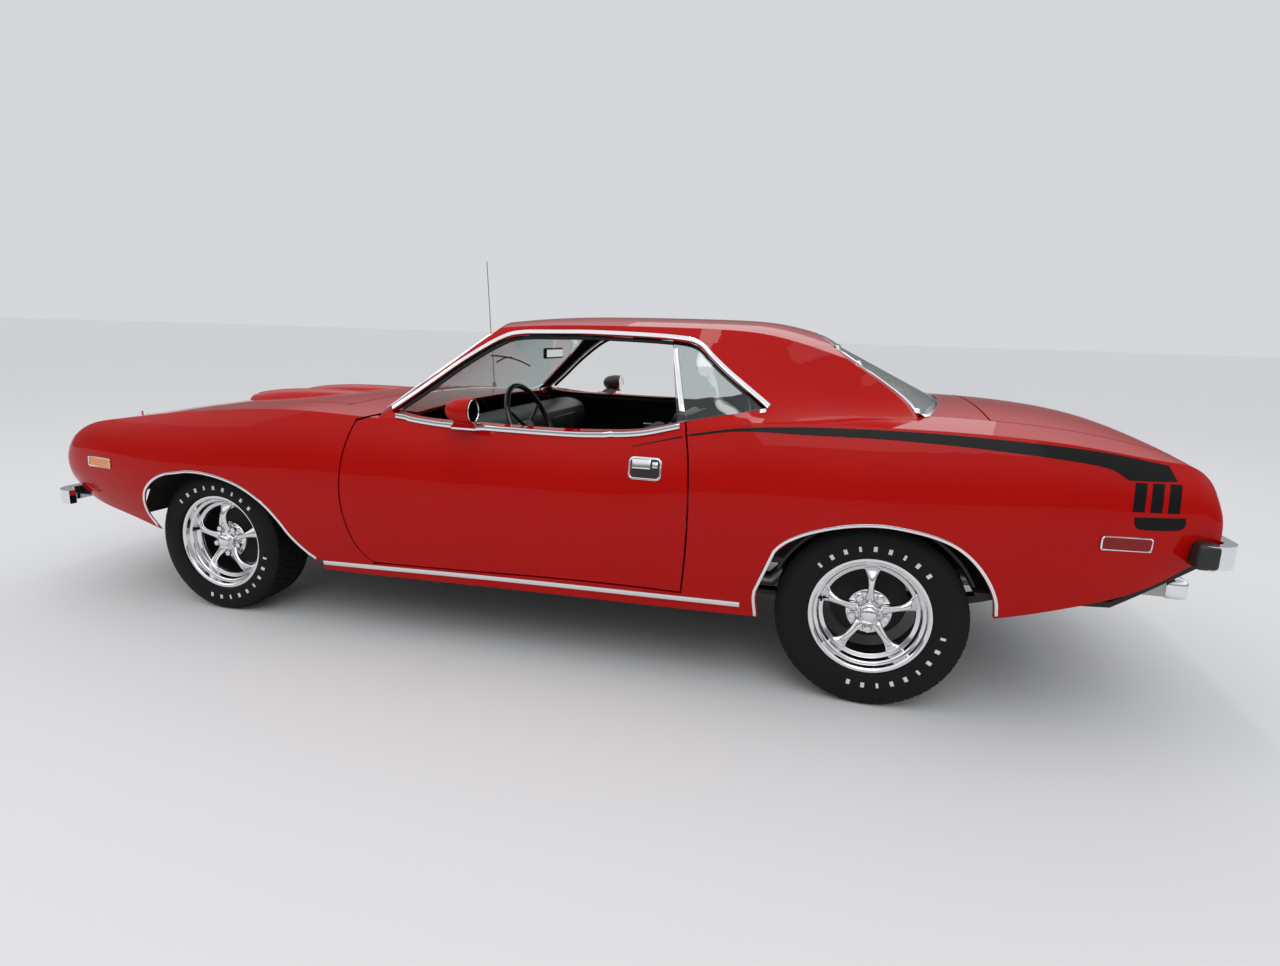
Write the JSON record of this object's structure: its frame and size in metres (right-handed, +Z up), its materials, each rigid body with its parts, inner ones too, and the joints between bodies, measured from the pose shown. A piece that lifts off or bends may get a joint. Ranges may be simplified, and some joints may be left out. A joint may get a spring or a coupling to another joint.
{
  "type": "muscle car",
  "caption": "Two-door hardtop coupe with a long hood, short deck and dark interior; doors, hood and deck lid open, the wheels roll and the front ones steer.",
  "frame": {"origin": "on the ground under the middle of the car's length and width", "axes": "+X from the nose to the tail, +Y to the car's right, +Z up"},
  "size_m": [4.77, 1.9954, 1.6621],
  "materials": {
    "red_paint": "deep gloss red",
    "window_glass": "lightly tinted",
    "chrome": "mirror chrome",
    "wheel_chrome": "polished",
    "tyre": "black rubber",
    "black_steel": "satin black",
    "cast_iron": "dark cast",
    "engine_paint": "painted casting",
    "exhaust_steel": "aluminised",
    "tank_steel": "dull zinc",
    "antenna_steel": "polished",
    "black_plastic": "satin black",
    "black_rim": "semi-gloss black",
    "black_vinyl": "grained black vinyl",
    "lamp_glass": "clear fluted",
    "amber_lens": "clear amber",
    "red_lens": "clear red"
  },
  "bodies": {
    "body": {"antenna": "antenna_steel", "cowl_panel": "red_paint", "dashboard": "black_plastic", "engine_block": "engine_paint", "exhaust": "exhaust_steel", "fender_left": "red_paint", "fender_right": "red_paint", "floor_pan": "black_steel", "front_bumper": "chrome", "front_markers": "amber_lens", "front_seats": "black_vinyl", "front_subframe": "black_steel", "fuel_tank": "tank_steel", "grille": "black_plastic", "headlamps": "lamp_glass", "inner_body": "black_steel", "nose_panel": "red_paint", "quarter_glass": "window_glass", "rear_axle": "cast_iron", "rear_bumper": "chrome", "rear_deck": "red_paint", "rear_lamps": "red_lens", "rear_seat": "black_vinyl", "rear_window": "window_glass", "roof_panel": "red_paint", "side_panel_left": "red_paint", "side_panel_right": "red_paint", "tail_panel": "red_paint", "trunk_floor": "black_steel", "windscreen": "window_glass"},
    "hood": {"hood": "red_paint"},
    "decklid": {"decklid": "red_paint"},
    "steering_wheel": {"steering_wheel": "black_rim"},
    "door_left": {"door_left": "red_paint"},
    "knuckle_left": {"knuckle_left": "cast_iron"},
    "wheel_front_left": {"tyre_front_left": "tyre", "rim_front_left": "wheel_chrome"},
    "wheel_rear_left": {"tyre_rear_left": "tyre", "rim_rear_left": "wheel_chrome"},
    "door_right": {"door_right": "red_paint"},
    "knuckle_right": {"knuckle_right": "cast_iron"},
    "wheel_front_right": {"tyre_front_right": "tyre", "rim_front_right": "wheel_chrome"},
    "wheel_rear_right": {"tyre_rear_right": "tyre", "rim_rear_right": "wheel_chrome"}
  },
  "joints": [
    {"name": "hood_hinge", "type": "hinge", "parent": "body", "child": "hood", "pos_m": [-0.74, 0, 0.91141], "axis": [0, 1, 0], "range_deg": [0, 55]},
    {"name": "decklid_hinge", "type": "hinge", "parent": "body", "child": "decklid", "pos_m": [1.535, 0, 0.99451], "axis": [0, -1, 0], "range_deg": [0, 70]},
    {"name": "steering_wheel_turn", "type": "hinge", "parent": "body", "child": "steering_wheel", "pos_m": [-0.14, -0.415, 0.852], "axis": [0.9135, 0, 0.4067], "range_deg": [-530, 530]},
    {"name": "door_left_hinge", "type": "hinge", "parent": "body", "child": "door_left", "pos_m": [-0.64, -0.92, 0.6], "axis": [0, 0, -1], "range_deg": [0, 62]},
    {"name": "steer_left", "type": "hinge", "parent": "body", "child": "knuckle_left", "pos_m": [-1.43, -0.66, 0.308], "axis": [0, 0, 1], "range_deg": [-33, 33]},
    {"name": "wheel_front_left_spin", "type": "hinge", "parent": "knuckle_left", "child": "wheel_front_left", "pos_m": [-1.43, -0.757, 0.308], "axis": [0, 1, 0], "continuous": true},
    {"name": "wheel_rear_left_spin", "type": "hinge", "parent": "body", "child": "wheel_rear_left", "pos_m": [1.313, -0.755, 0.328], "axis": [0, 1, 0], "continuous": true},
    {"name": "door_right_hinge", "type": "hinge", "parent": "body", "child": "door_right", "pos_m": [-0.64, 0.92, 0.6], "axis": [0, 0, 1], "range_deg": [0, 62]},
    {"name": "steer_right", "type": "hinge", "parent": "body", "child": "knuckle_right", "pos_m": [-1.43, 0.66, 0.308], "axis": [0, 0, 1], "range_deg": [-33, 33]},
    {"name": "wheel_front_right_spin", "type": "hinge", "parent": "knuckle_right", "child": "wheel_front_right", "pos_m": [-1.43, 0.757, 0.308], "axis": [0, 1, 0], "continuous": true},
    {"name": "wheel_rear_right_spin", "type": "hinge", "parent": "body", "child": "wheel_rear_right", "pos_m": [1.313, 0.755, 0.328], "axis": [0, 1, 0], "continuous": true}
  ],
  "couplings": [
    {"joint": "steer_right", "follows": "steer_left", "ratio": 1},
    {"joint": "steering_wheel_turn", "follows": "steer_left", "ratio": 16}
  ]
}
